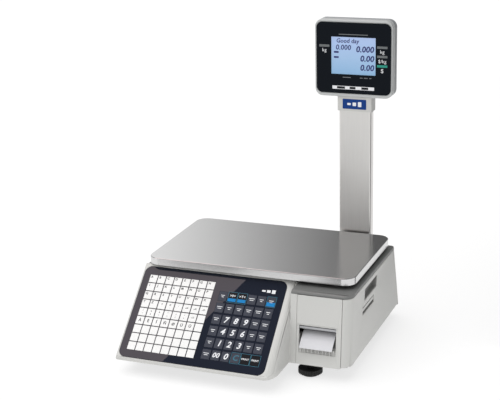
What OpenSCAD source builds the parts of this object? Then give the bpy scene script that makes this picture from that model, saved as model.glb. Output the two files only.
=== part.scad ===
// Retail price scale with a label printer, a sloped keyboard and a pole display.
// Millimetres. +X is the operator's right, +Y points from the keyboard to the pole, +Z is up.
// The origin is on the counter, under the middle of the case.

/* [Case] */
// Width over the side walls
case_w = 394; // [340:1:480]
// Depth from the keyboard's nose to the foot of the rear wall
case_d = 409; // [390:1:500]
// Gap between the counter and the case
case_lift = 25; // [21:1:30]
// How far the foot of the printer's front wall stands behind the nose
front_setback = 84; // [80:0.5:92]
// How far the front wall leans back between its foot and the deck
front_lean = 14; // [8:1:18]
// How far the rear wall leans forward between its foot and the deck
rear_lean = 38; // [28:1:44]
// Thickness of the moulded walls
wall = 3; // [2.5:0.1:3.6]
// Radius of the upright corners
corner_r = 18; // [12:1:22]
// Radius along the front and rear edges of the deck
deck_edge_r = 8; // [5:1:10]
// Thickness of the base tray's floor
tray_t = 3; // [2.5:0.1:4]
// Gap between fixed shells
fit_gap = 0.4; // [0.2:0.05:0.6]

/* [Keyboard] */
// Width of the keyboard pod
pod_w = 287; // [284:1:290]
// Radius that rolls the slope over into the pod's right flank
flank_r = 12; // [8:1:13]
// Slope of the keyboard
slope_angle = 42.4; // [38:0.2:46]
// Radius of the pod's nose
nose_r = 5; // [4:0.5:6]
// Width of the glossy panel
panel_w = 268; // [262:1:270]
// Length of the glossy panel down the slope
panel_l = 176.6; // [170:0.2:214]
// Thickness of the glossy panel
panel_t = 2; // [1.6:0.1:2.4]
// Corner radius of the glossy panel
panel_r = 13; // [8:1:16]
// Width of one preset key
preset_key_w = 14.2; // [12:0.1:14.4]
// Length of one preset key
preset_key_l = 14.7; // [12:0.1:14.9]
// Spacing of the preset keys across the slope
preset_pitch_x = 15.83; // [15.4:0.01:16]
// Spacing of the preset keys down the slope
preset_pitch_y = 16.35; // [15.8:0.01:16.6]
// Width of one function key
fn_key_w = 15.3; // [12:0.1:15.6]
// Length of one function key
fn_key_l = 18.3; // [15:0.1:19.2]
// Spacing of the function keys across the slope
fn_pitch_x = 17.8; // [17.4:0.1:18]
// Spacing of the function keys down the slope
fn_pitch_y = 22; // [21:0.1:22.4]
// Travel of a key
key_travel = 0.8; // [0.4:0.1:1]
// Gap around a key in the panel
key_gap = 0.25; // [0.2:0.05:0.4]

/* [Pan] */
// How far the pan's edge stands inside the case's side wall
pan_inset = 6; // [4:1:12]
// Height of the pan's folded skirt
skirt_h = 12.5; // [10:0.5:14]
// Gap between the deck and the skirt
pan_gap = 7.5; // [6:0.5:10]
// Thickness of the pan's sheet
pan_t = 1.5; // [1:0.1:2]
// Corner radius of the pan
pan_r = 22; // [16:1:26]
// Length of the load cell
cell_l = 150; // [130:5:150]
// Height of the load cell
cell_h = 38; // [30:1:40]

/* [Printer] */
// Width of the bay behind the side cover
bay_w = 101; // [100:1:103]
// Width of the labels
label_w = 58; // [40:1:58]
// Radius of a full label roll
roll_r = 48; // [36:1:50]
// Radius of the label roll's core
core_r = 19; // [15:1:20]
// Radius of the platen roller
platen_r = 9; // [7:0.5:9]
// Width of the label recess
recess_w = 65.5; // [60:0.5:68]
// Running clearance of a shaft in its bore
shaft_fit = 0.06; // [0.03:0.01:0.1]

/* [Pole and display] */
// Width of the pole
pole_w = 60; // [50:1:64]
// Depth of the pole
pole_d = 20; // [16:1:24]
// Top of the pole above the counter
pole_top = 408; // [340:1:480]
// Wall of the pole's tube
pole_t = 1.5; // [1:0.1:2]
// Width of the display head
head_w = 144.5; // [125:0.5:150]
// Height of the display head
head_h = 139.5; // [130:0.5:165]
// Depth of the display head
head_d = 30; // [28:1:36]
// Corner radius of the display head
head_r = 14; // [8:1:18]
// Width of the visible display
lcd_w = 83; // [60:1:90]
// Height of the visible display
lcd_h = 68; // [50:1:72]

/* [Feet] */
// Radius of a knurled foot
foot_r = 21; // [16:1:24]
// Radius of a foot's threaded stud
stud_r = 5; // [4:0.5:6]

/* [Hidden] */
$fn = 48;
eps = 0.01;

// Colours
ABS = [0.86, 0.86, 0.84];
STEEL = [0.75, 0.76, 0.77];
ALLOY = [0.66, 0.68, 0.70];
BLACK = [0.08, 0.08, 0.09];
NAVY = [0.10, 0.11, 0.15];
KEYDARK = [0.17, 0.19, 0.24];
PCB = [0.10, 0.38, 0.22];
PAPER = [0.95, 0.95, 0.94];

// Case planes
nose_y = -case_d / 2;
rear_y = case_d / 2;
front_y = nose_y + front_setback;
side_x = case_w / 2;

// The slope starts where it leaves the nose's arc
slope_y0 = nose_y + nose_r - nose_r * sin(slope_angle);
slope_z0 = case_lift + nose_r + nose_r * cos(slope_angle);
slope_rim = 3;
panel_v0 = 0.3;
slope_l = panel_v0 + panel_l + slope_rim;
ridge_y = slope_y0 + slope_l * cos(slope_angle);
ridge_z = slope_z0 + slope_l * sin(slope_angle);
pod_x0 = -side_x;
pod_x1 = pod_x0 + pod_w;
panel_x0 = pod_x0 + slope_rim;
deck_drop = 3;
deck_z = ridge_z - deck_drop;

// Key blocks, measured from the panel's top left corner
key_margin = 13;
preset_cols = 8;
preset_rows = 9;
preset_x0 = panel_x0 + key_margin + preset_key_w / 2;
preset_v0 = 24.2;
fn_cols = 6;
fn_rows = 6;
fn_x1 = panel_x0 + panel_w - key_margin - fn_key_w / 2;
fn_v0 = 41.9;
key_proud = 0.3;
flange_t = 0.8;
flange_gap = 0.4;
flange_out = 0.8;
web_z = -panel_t - flange_gap;
stem_end = -6.2;
board_z = -7.4;
board_t = 1.6;
window_ledge = 6;

// Deck, pan and pole
pan_w = case_w - 2 * pan_inset;
pan_overlap = 7.3;
pan_y0 = ridge_y - slope_rim * cos(slope_angle) - pan_overlap;
pole_setback = 15;
pole_y1 = rear_y - pole_setback;
pole_y0 = pole_y1 - pole_d;
pan_pole_gap = 7;
pan_d = pole_y0 - pan_pole_gap - pan_y0;
pan_cy = pan_y0 + pan_d / 2;
rim_z = deck_z + pan_gap;
pan_top = rim_z + skirt_h;
pole_from_side = 77.7;
pole_x = side_x - pole_from_side;

// Weighing mechanism
tray_gap = 0.5;
tray_z = case_lift + tray_gap;
floor_z = tray_z + tray_t;
cell_w = 25;
spacer_h = 12;
spacer_l = 40;
spacer_w = 36;
cell_z = floor_z + spacer_h;
bolt_r = 4;
bolt_in = 12;
support_z = cell_z + cell_h + 6;
support_t = 10;
post_r = 8;
post_x = 78;
post_y = pan_d / 2 - 52;
pad_t = 3;
post_top = pan_top - pan_t - pad_t;
post_hole_r = 13;

// Printer bay
bay_x0 = side_x - bay_w;
partition_x = bay_x0 - wall;
label_x = side_x - 57.7;
seam = 0.6;
face_x0 = bay_x0 + 6;
face_x1 = side_x - 16;
door_top = deck_z - 6;
platen_y = front_y + 42;
platen_z = case_lift + 49;
shaft_r = 3;
guide_y = front_y + 80;
guide_z = case_lift + 51;
guide_r = 2.5;
roll_y = front_y + 182;
roll_z = case_lift + 61;
reel_y = front_y + 98;
reel_z = case_lift + 23;
reel_r = 14;
plate_x = bay_x0 + 2;
plate_t = 3;
cheek_x = label_x + 35;
pivot_y = front_y + 69;
pivot_z = platen_z + 18;
pivot_r = 2;
paper_t = 0.25;
paper_gap = 0.3;
recess_x0 = label_x - recess_w / 2;
recess_x1 = label_x + recess_w / 2;
slot_top = case_lift + 69;
slot_sill = platen_z + 4;
recess_foot = case_lift + 22;
recess_depth = 22;
peel_y = front_y + 26;

// Side cover
hinge_r = 2.5;
pin_r = 1.2;
hinge_skin = 1.3;
hinge_x = side_x - hinge_r - hinge_skin;
hinge_z = case_lift + hinge_r + 0.1;
door_rear_foot = rear_y - 12;
door_rear_lean = rear_lean * (door_top - case_lift) / (deck_z - case_lift);
knuckle_l = 24;
door_knuckles = [front_y + 30, front_y + 150, front_y + 270];
grip_y = front_y + 129.5;
grip_l = 84;
grip_top = deck_z - 15;

// Rear connector recess
port_x0 = -side_x + 40;
port_w = 150;
port_z0 = case_lift + 14;
port_h = 62;
port_depth = 40;
port_y = rear_y - port_depth;

// Display head
collar_w = 65;
collar_h = 27;
collar_d = 26;
collar_z = pole_top - 7;
head_z = collar_z + collar_h;
head_x = pole_x - 1;
pole_cy = (pole_y0 + pole_y1) / 2;
head_y0 = pole_cy - 16;
head_y1 = head_y0 + head_d;
head_split = head_y0 + 17;
window_t = 1.6;
window_rim = 3.2;
head_wall = 2.4;

// Feet, under the tray's corners
foot_x = side_x - 76;
foot_front_y = front_y + 22.5;
foot_rear_y = rear_y - 55;
disc_h = 9;
sole_h = 3.5;
boss_r = 10;
boss_h = 14;

// ---- shapes shared by several pieces ----

module block(lo, hi) {
    translate(lo) cube(hi - lo);
}

module rod_x(y, z, r, x0, x1) {
    translate([x0, y, z]) rotate([0, 90, 0]) cylinder(r = r, h = x1 - x0);
}

module rod_y(x, z, r, y0, y1) {
    translate([x, y1, z]) rotate([90, 0, 0]) cylinder(r = r, h = y1 - y0);
}

module rod_z(x, y, r, z0, z1) {
    translate([x, y, z0]) cylinder(r = r, h = z1 - z0);
}

// Rectangle with true arcs at its corners, between two opposite corners
module round_rect(lo, hi, r) {
    translate(lo + [r, 0]) square([hi.x - lo.x - 2 * r, hi.y - lo.y]);
    translate(lo + [0, r]) square([hi.x - lo.x, hi.y - lo.y - 2 * r]);
    for (x = [lo.x + r, hi.x - r], y = [lo.y + r, hi.y - r])
        translate([x, y]) circle(r = r);
}

module round_block(lo, hi, r) {
    translate([0, 0, lo.z]) linear_extrude(hi.z - lo.z)
        round_rect([lo.x, lo.y], [hi.x, hi.y], r);
}

// Upright plate facing along Y, with rounded corners
module round_plate_y(x, z, w, h, r, y0, y1) {
    translate([x, y1, z]) rotate([90, 0, 0]) linear_extrude(y1 - y0)
        round_rect([-w / 2, -h / 2], [w / 2, h / 2], r);
}

// Prism of a Y-Z outline, from x0 to x1
module prism_x(points, x0, x1) {
    translate([x0, 0, 0]) rotate([90, 0, 90]) linear_extrude(x1 - x0) polygon(points);
}

function arc(c, r, from, to, steps = 6) =
    [for (i = [0:steps]) c + r * [cos(from + (to - from) * i / steps),
        sin(from + (to - from) * i / steps)]];

// Frame of the keyboard: X across, Y up the slope, Z out of it
module on_slope() {
    translate([0, slope_y0, slope_z0]) rotate([slope_angle, 0, 0]) children();
}

// A place on the panel, given the distance down from its top edge
module on_panel(x, down) {
    on_slope() translate([x, panel_v0 + panel_l - down, 0]) children();
}

// ---- case ----

case_h = deck_z - case_lift;
front_angle = atan2(front_lean, case_h);
rear_angle = atan2(rear_lean, case_h);
rear_corner_r = 7;
function front_at(z) = front_y + (z - case_lift) * tan(front_angle);
function rear_at(z) = rear_y - (z - case_lift) * tan(rear_angle);

// Side outline of the main case, drawn in by an inset
function main_outline(i) =
    let(top = deck_z - i, r = deck_edge_r - min(i, deck_edge_r - 2),
        foot = i > 0 ? case_lift - 5 : case_lift)
    concat([[front_at(foot) + i, foot]],
        arc([front_at(top - r) + i + r / cos(front_angle), top - r], r, 180 - front_angle, 90),
        [[rear_at(top) - i, top], [rear_at(foot) - i, foot]]);

// Side outline of the keyboard pod, drawn in by an inset
function pod_outline(i, skin) =
    let(n = [-sin(slope_angle), cos(slope_angle)],
        d = [cos(slope_angle), sin(slope_angle)],
        low = [slope_y0, slope_z0] - skin * n,
        high = low + slope_l * d,
        back = front_y + 60)
    i == 0
    ? concat([[back, case_lift]],
        arc([nose_y + nose_r, case_lift + nose_r], nose_r, 270, 90 + slope_angle),
        arc(high - 4 * n, 4, 90 + slope_angle, 40),
        [[ridge_y + 9, deck_z - 4], [back, deck_z - 4]])
    : [[back, case_lift - 5], [nose_y + i + nose_r, case_lift - 5],
        [nose_y + i + nose_r, (low + 4 * d).y], high - 8 * d,
        [ridge_y, deck_z - i], [back, deck_z - i]];

// Main case drawn in by an inset; its rounded corners lean with the front and rear walls
module main_solid(i) {
    intersection() {
        prism_x(main_outline(i), -side_x + i, side_x - i);
        translate([0, front_y, case_lift]) rotate([-front_angle, 0, 0])
            round_block([-side_x + i, i, -30], [side_x - i, 2 * case_d, 3 * case_h],
                corner_r - i);
        translate([0, rear_y, case_lift]) rotate([rear_angle, 0, 0])
            round_block([-side_x + i, -2 * case_d, -30], [side_x - i, -i, 4 * case_h],
                rear_corner_r - i);
    }
}

// Section of the pod across the slope, whose right flank is rolled over
module pod_section(i) {
    r = flank_r - i;
    depth = 200;
    on_slope() translate([0, slope_l + 60, -i]) rotate([90, 0, 0]) linear_extrude(slope_l + 120) {
        translate([pod_x0 + i, -depth]) square([pod_w - 2 * i, depth - r]);
        translate([pod_x0 + i, -depth]) square([pod_w - 2 * i - r, depth]);
        translate([pod_x1 - i - r, -r]) circle(r = r);
    }
}

// Keyboard pod drawn in by an inset, with rounded right corners
module pod_solid(i, skin) {
    intersection() {
        prism_x(pod_outline(i, skin), pod_x0 + i, pod_x1 - i);
        pod_section(i);
        on_slope() translate([0, 0, -200]) linear_extrude(210) {
            round_rect([pod_x0 - 60, i - nose_r - 1], [pod_x1 - i, slope_l + 12], panel_r + 10);
        }
    }
}

// What the pod's surface cuts off the main case, from the nose back to the ridge
module outside_pod() {
    sunk = 0.5;
    difference() {
        on_slope() translate([pod_x0 - 1, -60, -flank_r - 1])
            cube([pod_w + 1, 60 + slope_l, 220]);
        pod_section(sunk);
    }
}

// The same with a skin's thickness added, which keeps the hollow under the surface
module skin_of_pod() {
    reach = 1.5 * wall;
    on_slope() translate([pod_x0 - 1, -60, -panel_t - wall])
        cube([pod_w + 1 + reach, 60 + slope_l, 220]);
    on_slope() translate([pod_x1 - flank_r, -60, -flank_r - wall])
        cube([flank_r + reach, 60 + slope_l, 220]);
}

// The bay's opening in the right wall, and the cover that fills it
module door_outline(gap) {
    polygon([[front_y - 1, case_lift - 6], [door_rear_foot + gap, case_lift - 6],
        [door_rear_foot + gap, case_lift],
        [door_rear_foot + gap - door_rear_lean, door_top + gap],
        [front_y - 1, door_top + gap]]);
}

screw_sites = [[-side_x + wall + 7, front_y + 20], [-side_x + wall + 7, rear_y - 60],
    [pod_x0 + wall + 3.5, nose_y + 30], [pod_x1 - wall - 6, nose_y + 30],
    [partition_x - 7, front_y + 60], [partition_x - 7, rear_y - 60]];
screw_r = 1.8;
lug_h = 14;

module upper_housing() {
    color(ABS) difference() {
        union() {
            difference() {
                union() {
                    difference() {
                        main_solid(0);
                        outside_pod();
                    }
                    pod_solid(0, 0);
                }
                difference() {
                    union() {
                        difference() {
                            main_solid(wall);
                            skin_of_pod();
                        }
                        pod_solid(wall, panel_t + wall);
                    }
                    // partition between the works and the printer bay
                    block([partition_x, front_y, floor_z + fit_gap],
                        [bay_x0, rear_y, deck_z]);
                    // walls of the connector recess
                    block([port_x0 - wall, port_y - wall, port_z0 - wall],
                        [port_x0 + port_w + wall, rear_y, port_z0 + port_h + wall]);
                    for (s = screw_sites)
                        block([s.x - 7, s.y - 6, floor_z], [s.x + 7, s.y + 6, floor_z + lug_h]);
                }
            }
            // socket that carries the pole outside the rear wall
            block([pole_x - pole_w / 2 - wall - 1, pole_y0 - wall - 1, case_lift],
                [pole_x + pole_w / 2 + wall + 1, pole_y1 + wall + 1, deck_z - 4]);
        }
        // pole well
        block([pole_x - pole_w / 2 - 1, pole_y0 - 1, case_lift - 1],
            [pole_x + pole_w / 2 + 1, pole_y1 + 1, deck_z]);
        // keyboard recess and window
        on_slope() translate([0, panel_v0 - fit_gap / 2, -panel_t])
            linear_extrude(panel_t + 8)
            round_rect([panel_x0 - fit_gap / 2, 0],
                [panel_x0 + panel_w + fit_gap / 2, panel_l + fit_gap], panel_r);
        on_slope() translate([0, panel_v0, -panel_t - wall - 14])
            linear_extrude(panel_t + wall + 14)
            round_rect([panel_x0 + window_ledge, window_ledge],
                [panel_x0 + panel_w - window_ledge, panel_l - window_ledge], 4);
        // side opening, which turns the front corner
        translate([side_x - wall - 0.5, 0, 0]) rotate([90, 0, 90])
            linear_extrude(wall + 2) door_outline(seam);
        block([face_x0 - seam / 2, front_y - 1, case_lift - 1],
            [side_x + 1, front_at(door_top) + corner_r, door_top + seam]);
        // openings for the pan's posts, the cell's motor and the connectors
        for (x = [-post_x, post_x], y = [-post_y, post_y])
            rod_z(x, pan_cy + y, post_hole_r, deck_z - wall - 1, deck_z + 1);
        rod_x(platen_y, platen_z, 19, partition_x - 1, bay_x0 + 1);
        block([port_x0, port_y, port_z0], [port_x0 + port_w, rear_y + 9, port_z0 + port_h]);
        block([port_x0 + 6, port_y - wall - 1, port_z0 + 6],
            [port_x0 + port_w - 6, port_y + 1, port_z0 + port_h - 6]);
        block([partition_x - 1, front_y + wall, tray_z - 1],
            [bay_x0 + 1, rear_y - 30, floor_z + fit_gap]);
        rod_z(level_x, level_y, level_r + fit_gap / 2, deck_z - wall - 1, deck_z + 1);
        for (s = screw_sites)
            rod_z(s.x, s.y, screw_r - 0.3, floor_z - 1, floor_z + lug_h - 3);
    }
}

module tray_plan() {
    round_rect([-side_x + wall + fit_gap, front_y + wall + 1],
        [side_x - 8, rear_y - wall - 3], corner_r - wall);
    translate([pod_x0 + wall + fit_gap, nose_y + nose_r + wall + fit_gap])
        square([pod_w - 2 * wall - 2 * fit_gap - panel_r, front_setback + 20]);
}

module base_tray() {
    color([0.30, 0.31, 0.32]) difference() {
        union() {
            difference() {
                translate([0, 0, tray_z]) linear_extrude(tray_t) tray_plan();
                block([pole_x - pole_w / 2 - wall - 1.5, pole_y0 - wall - 1.5, case_lift - 1],
                    [pole_x + pole_w / 2 + wall + 1.5, rear_y, floor_z + 1]);
            }
            for (p = foot_sites)
                rod_z(p.x, p.y, boss_r, tray_z, tray_z + boss_h);
            // ears for the side cover's hinge pin, one in front of each knuckle
            for (y = door_knuckles) {
                block([side_x - 20, y - 12, floor_z - 1], [hinge_x, y - 2, floor_z + 1]);
                rod_y(hinge_x, hinge_z, hinge_r, y - 12, y - 2);
            }
        }
        for (p = foot_sites)
            rod_z(p.x, p.y, stud_r + shaft_fit, tray_z - 1, tray_z + boss_h + 1);
        for (s = screw_sites)
            rod_z(s.x, s.y, screw_r + 0.4, tray_z - 1, floor_z + 1);
        rod_y(hinge_x, hinge_z, pin_r, front_y, rear_y);
        for (y = door_knuckles)
            rod_y(hinge_x, hinge_z, hinge_r + 0.4, y - 1.6, y + knuckle_l + 0.4);
    }
}

foot_sites = [[-foot_x, foot_front_y], [foot_x, foot_front_y],
    [-foot_x, foot_rear_y], [foot_x, foot_rear_y]];

// Knurled disc on a threaded stud, with a rubber sole
module foot(p) {
    notches = 30;
    color(BLACK) translate([p.x, p.y, 0]) {
        difference() {
            translate([0, 0, sole_h]) cylinder(r = foot_r, h = disc_h);
            for (a = [0:360 / notches:359]) rotate([0, 0, a])
                translate([foot_r + 0.5, 0, 1]) cylinder(r = 1.9, h = disc_h + 4, $fn = 6);
        }
        cylinder(r = foot_r - 6, h = sole_h + 1);
        cylinder(r = stud_r, h = case_lift + 12);
    }
}

module foot_front_left() foot(foot_sites[0]);
module foot_front_right() foot(foot_sites[1]);
module foot_rear_left() foot(foot_sites[2]);
module foot_rear_right() foot(foot_sites[3]);

level_r = 9;
level_x = -side_x + 30;
level_y = pan_y0 + 30;

// Round spirit level let into the deck under the pan
module bubble_level() {
    color([0.75, 0.85, 0.45]) {
        rod_z(level_x, level_y, level_r, deck_z - 7, deck_z + 0.5);
        rod_z(level_x, level_y, level_r + 2, deck_z, deck_z + 1);
    }
}

module housing_screws() {
    color(STEEL) for (s = screw_sites) {
        rod_z(s.x, s.y, screw_r - 0.3, tray_z, floor_z + lug_h - 4);
        rod_z(s.x, s.y, screw_r + 0.3, tray_z, floor_z - 0.2);
        rod_z(s.x, s.y, 3.4, tray_z - 1.8, tray_z);
    }
}

// ---- rear connectors ----

jack_w = 16;
jack_h = 14;
jack_sites = [22, 47, 72];
inlet_x = port_x0 + port_w - 26;
switch_x = port_x0 + port_w - 57;
plate_back = port_y + 2;

module port_panel() {
    zc = port_z0 + port_h / 2;
    color([0.55, 0.56, 0.57]) difference() {
        union() {
            block([port_x0 + 1, port_y, port_z0 + 1],
                [port_x0 + port_w - 1, plate_back, port_z0 + port_h - 1]);
            for (x = jack_sites)
                block([port_x0 + x - 11, port_y - 18, zc - 10], [port_x0 + x + 11, port_y, zc + 10]);
        }
        for (x = jack_sites)
            block([port_x0 + x - jack_w / 2, port_y - 14, zc - jack_h / 2],
                [port_x0 + x + jack_w / 2, plate_back + 1, zc + jack_h / 2]);
        block([inlet_x - 14, port_y - 1, zc - 10], [inlet_x + 14, plate_back + 1, zc + 10]);
        block([switch_x - 7, port_y - 1, zc - 11], [switch_x + 7, plate_back + 1, zc + 11]);
    }
}

// Mains inlet: a socket with three blades, and no cord in it
module power_inlet() {
    zc = port_z0 + port_h / 2;
    color(BLACK) difference() {
        union() {
            block([inlet_x - 13.7, port_y - 20, zc - 9.7], [inlet_x + 13.7, plate_back, zc + 9.7]);
            block([inlet_x - 17, plate_back, zc - 13], [inlet_x + 17, plate_back + 2.5, zc + 13]);
        }
        block([inlet_x - 11.5, port_y - 14, zc - 8], [inlet_x + 11.5, plate_back + 3, zc + 8]);
    }
    color(STEEL) for (x = [-7, 0, 7])
        block([inlet_x + x - 1, port_y - 15, zc - 2.5], [inlet_x + x + 1, port_y - 1, zc + 2.5]);
}

switch_hinge_y = port_y - 1;

// Rocker on its own pivot in the connector plate
module power_switch() {
    zc = port_z0 + port_h / 2;
    color(BLACK) difference() {
        union() {
            prism_x([[port_y - 3, zc - 9], [plate_back + 4, zc - 10], [plate_back + 1, zc],
                [plate_back + 1.6, zc + 8], [port_y - 3, zc + 9]], switch_x - 6.2, switch_x + 6.2);
            rod_x(switch_hinge_y, zc, 3, switch_x - 6.2, switch_x + 6.2);
        }
    }
}

// ---- weighing ----

module pan() {
    x = pan_w / 2;
    color(STEEL) difference() {
        round_block([-x, pan_y0, rim_z], [x, pan_y0 + pan_d, pan_top], pan_r);
        round_block([-x + pan_t, pan_y0 + pan_t, rim_z - 1],
            [x - pan_t, pan_y0 + pan_d - pan_t, pan_top - pan_t], pan_r - pan_t);
    }
}

// Cross under the deck with four posts that come up through it
module pan_support() {
    bar = 9;
    color(ALLOY) difference() {
        union() {
            for (y = [-post_y, post_y])
                block([-post_x - bar, pan_cy + y - bar, support_z],
                    [post_x + bar, pan_cy + y + bar, support_z + support_t]);
            for (x = [-post_x, post_x])
                block([x - bar, pan_cy - post_y, support_z],
                    [x + bar, pan_cy + post_y, support_z + support_t]);
            block([-post_x, pan_cy - cell_w, support_z],
                [post_x, pan_cy + cell_w, support_z + support_t]);
            for (x = [-post_x, post_x], y = [-post_y, post_y])
                rod_z(x, pan_cy + y, post_r, support_z, post_top);
        }
        for (x = live_bolts)
            rod_z(x, pan_cy, bolt_r + 0.3, support_z - 1, support_z + support_t + 1);
    }
}

module pan_pads() {
    color(BLACK) for (x = [-post_x, post_x], y = [-post_y, post_y])
        rod_z(x, pan_cy + y, post_r + 1.5, post_top, pan_top - pan_t);
}

live_bolts = [cell_l / 2 - bolt_in - 20, cell_l / 2 - bolt_in];
fixed_bolts = [-cell_l / 2 + bolt_in, -cell_l / 2 + bolt_in + 20];

// Single-point load cell: an alloy bar with a dog-bone opening
module load_cell() {
    hole_r = 12;
    zc = cell_z + cell_h / 2;
    color(ALLOY) difference() {
        block([-cell_l / 2, pan_cy - cell_w / 2, cell_z],
            [cell_l / 2, pan_cy + cell_w / 2, cell_z + cell_h]);
        for (x = [-15, 15]) rod_y(x, zc, hole_r, pan_cy - cell_w, pan_cy + cell_w);
        block([-15, pan_cy - cell_w, zc - 4], [15, pan_cy + cell_w, zc + 4]);
        for (x = live_bolts)
            rod_z(x, pan_cy, bolt_r + 0.05, cell_z + cell_h - 18, cell_z + cell_h + 1);
        for (x = fixed_bolts)
            rod_z(x, pan_cy, bolt_r + 0.05, cell_z - 1, cell_z + 18);
    }
}

module load_cell_spacers() {
    color(ALLOY) {
        difference() {
            block([-cell_l / 2, pan_cy - spacer_w / 2, floor_z],
                [-cell_l / 2 + spacer_l, pan_cy + spacer_w / 2, cell_z]);
            for (x = fixed_bolts) rod_z(x, pan_cy, bolt_r + 0.3, floor_z - 1, cell_z + 1);
        }
        difference() {
            block([cell_l / 2 - spacer_l, pan_cy - cell_w / 2, cell_z + cell_h],
                [cell_l / 2, pan_cy + cell_w / 2, support_z]);
            for (x = live_bolts)
                rod_z(x, pan_cy, bolt_r + 0.3, cell_z + cell_h - 1, support_z + 1);
        }
    }
}

module load_cell_bolts() {
    color(STEEL) {
        for (x = live_bolts) {
            rod_z(x, pan_cy, bolt_r, cell_z + cell_h - 14, support_z + support_t);
            rod_z(x, pan_cy, bolt_r + 3, support_z + support_t, support_z + support_t + 5);
        }
        for (x = fixed_bolts) rod_z(x, pan_cy, bolt_r, floor_z, cell_z + 14);
    }
}

// ---- keyboard ----

function preset_x(c) = preset_x0 + c * preset_pitch_x;
function preset_down(r) = preset_v0 + r * preset_pitch_y;
function fn_x(c) = fn_x1 - (fn_cols - 1 - c) * fn_pitch_x;
function fn_down(r) = fn_v0 + r * fn_pitch_y;

module key_hole(x, down, w, l) {
    on_panel(x, down) translate([-w / 2 - key_gap, -l / 2 - key_gap, -panel_t - 1])
        cube([w + 2 * key_gap, l + 2 * key_gap, panel_t + 2]);
}

module keyboard_panel() {
    color(NAVY) difference() {
        on_slope() translate([0, panel_v0, -panel_t]) linear_extrude(panel_t)
            round_rect([panel_x0, 0], [panel_x0 + panel_w, panel_l], panel_r);
        for (c = [0:preset_cols - 1], r = [0:preset_rows - 1])
            key_hole(preset_x(c), preset_down(r), preset_key_w, preset_key_l);
        for (c = [0:fn_cols - 1], r = [0:fn_rows - 1])
            key_hole(fn_x(c), fn_down(r), fn_key_w, fn_key_l);
    }
}

// A key's cap and the stem that presses its switch
module cap(w, l, flange_w, flange_l) {
    translate([-w / 2, -l / 2, web_z - flange_t]) cube([w, l, key_proud - web_z + flange_t]);
    translate([-flange_w / 2, -flange_l / 2, web_z - flange_t])
        cube([flange_w, flange_l, flange_t]);
    translate([0, 0, stem_end]) cylinder(r = 2.5, h = web_z - flange_t - stem_end + eps, $fn = 16);
}

// The preset keys are one moulding: caps on a carrier web
module preset_keys() {
    color("white") for (c = [0:preset_cols - 1], r = [0:preset_rows - 1])
        on_panel(preset_x(c), preset_down(r))
            cap(preset_key_w, preset_key_l, preset_pitch_x, preset_pitch_y);
}

// Cells of the function block whose keys have a piece of their own
own_cells = [[1, 5, "key_00"], [2, 5, "key_0"], [1, 4, "key_1"], [2, 4, "key_2"],
    [3, 4, "key_3"], [1, 3, "key_4"], [2, 3, "key_5"], [3, 3, "key_6"],
    [1, 2, "key_7"], [2, 2, "key_8"], [3, 2, "key_9"], [3, 5, "key_clear"],
    [4, 5, "key_print"], [5, 5, "key_auto_print"], [1, 0, "key_zero"], [2, 0, "key_tare"]];
function is_own(c, r) = len([for (k = own_cells) if (k[0] == c && k[1] == r) 1]) > 0;

// The other function keys are one moulding too
module function_keys() {
    color(KEYDARK) for (c = [0:fn_cols - 1], r = [0:fn_rows - 1])
        if (!is_own(c, r)) on_panel(fn_x(c), fn_down(r))
            cap(fn_key_w, fn_key_l, fn_pitch_x, fn_pitch_y);
}

module own_key(name) {
    for (k = own_cells) if (k[2] == name)
        on_panel(fn_x(k[0]), fn_down(k[1]))
            cap(fn_key_w, fn_key_l, fn_key_w + 2 * flange_out, fn_key_l + 2 * flange_out);
}

module key_0() color(KEYDARK) own_key("key_0");
module key_1() color(KEYDARK) own_key("key_1");
module key_2() color(KEYDARK) own_key("key_2");
module key_3() color(KEYDARK) own_key("key_3");
module key_4() color(KEYDARK) own_key("key_4");
module key_5() color(KEYDARK) own_key("key_5");
module key_6() color(KEYDARK) own_key("key_6");
module key_7() color(KEYDARK) own_key("key_7");
module key_8() color(KEYDARK) own_key("key_8");
module key_9() color(KEYDARK) own_key("key_9");
module key_00() color(KEYDARK) own_key("key_00");
module key_clear() color(KEYDARK) own_key("key_clear");
module key_print() color(BLACK) own_key("key_print");
module key_auto_print() color(BLACK) own_key("key_auto_print");
module key_zero() color("steelblue") own_key("key_zero");
module key_tare() color("steelblue") own_key("key_tare");

module keyboard_board() {
    color(PCB) on_slope() translate([panel_x0 + 8, panel_v0 + 12, board_z - board_t])
        cube([panel_w - 16, panel_l - 20, board_t]);
}

// ---- electronics ----

board_post = 6;

module main_board() {
    x0 = -foot_x + boss_r + 11;
    y0 = front_y + 12;
    color(PCB) block([x0, y0, floor_z + board_post], [x0 + 150, y0 + 90, floor_z + board_post + 1.6]);
    color(BLACK) for (x = [30, 70, 110])
        block([x0 + x, y0 + 30, floor_z + board_post + 1.6], [x0 + x + 18, y0 + 48, floor_z + board_post + 4]);
    color(ALLOY) for (x = [5, 145], y = [5, 85])
        rod_z(x0 + x, y0 + y, 3, floor_z, floor_z + board_post);
}

module power_supply() {
    x0 = -side_x + 14;
    y0 = pan_cy + 22;
    color(ALLOY) difference() {
        block([x0, y0, floor_z], [x0 + 110, y0 + 62, floor_z + 36]);
        block([x0 + 1.2, y0 + 1.2, floor_z + 1.2], [x0 + 108.8, y0 + 60.8, floor_z + 37]);
    }
    color(PCB) block([x0 + 1.2, y0 + 1.2, floor_z + 5], [x0 + 108.8, y0 + 60.8, floor_z + 6.6]);
    color(BLACK) block([x0 + 40, y0 + 16, floor_z + 6.6], [x0 + 70, y0 + 44, floor_z + 30]);
}

// ---- printer ----

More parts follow.
